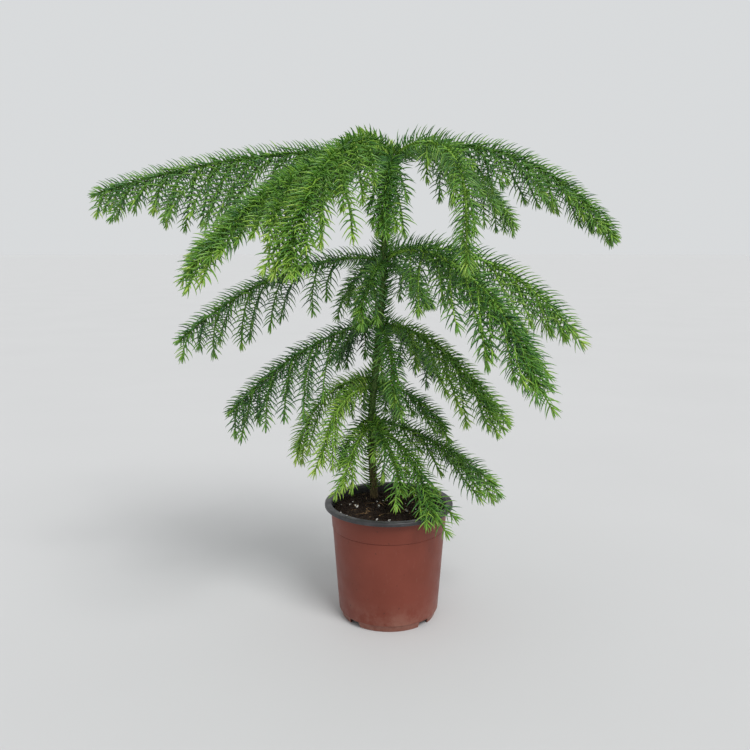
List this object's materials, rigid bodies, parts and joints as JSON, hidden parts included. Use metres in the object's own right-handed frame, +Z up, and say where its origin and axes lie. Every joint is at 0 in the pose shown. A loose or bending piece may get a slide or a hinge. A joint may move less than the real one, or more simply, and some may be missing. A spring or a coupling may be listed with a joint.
{
  "type": "potted norfolk island pine",
  "caption": "Young conifer with tiers of arching, needle-covered branches round a slender trunk, growing in a tapered plastic nursery pot of peat mix.",
  "frame": {"origin": "on the ground under the pot's centre, on the flat foot in the middle of the pot's base", "axes": "+Z up; +X to the plant's right seen from the front, along its widest spread; -Y to the front"},
  "size_m": [0.4735, 0.2913, 0.4357],
  "materials": {
    "pot_plastic": "satin moulded polypropylene, terracotta outside and dark grey inside",
    "potting_mix": "crumbly dark peat mix with white perlite",
    "bark": "thin scaly brown bark, green towards the top",
    "green_shoot": "green shoots closely set with awl-shaped needles"
  },
  "bodies": {
    "root": {"nursery_pot": "pot_plastic", "potting_soil": "potting_mix", "trunk": "bark", "branch_top_left": "green_shoot", "branch_top_front_left": "green_shoot", "branch_top_front": "green_shoot", "branch_top_front_short": "green_shoot", "branch_top_front_right": "green_shoot", "branch_top_right": "green_shoot", "branch_top_back_right": "green_shoot", "branch_top_back_left": "green_shoot", "branch_second_left": "green_shoot", "branch_second_front": "green_shoot", "branch_second_right": "green_shoot", "branch_second_far_right": "green_shoot", "branch_second_back_right": "green_shoot", "branch_second_back_left": "green_shoot", "branch_third_left": "green_shoot", "branch_third_front": "green_shoot", "branch_third_right": "green_shoot", "branch_third_back_right": "green_shoot", "branch_third_back_left": "green_shoot", "branch_fourth_left": "green_shoot", "branch_fourth_front_left": "green_shoot", "branch_fourth_right": "green_shoot", "branch_fourth_back_right": "green_shoot", "branch_fourth_back_left": "green_shoot", "branch_fifth_left": "green_shoot", "branch_fifth_front_left": "green_shoot", "branch_fifth_front": "green_shoot", "branch_fifth_front_right": "green_shoot", "branch_fifth_right": "green_shoot", "branch_fifth_back": "green_shoot"}
  },
  "joints": []
}
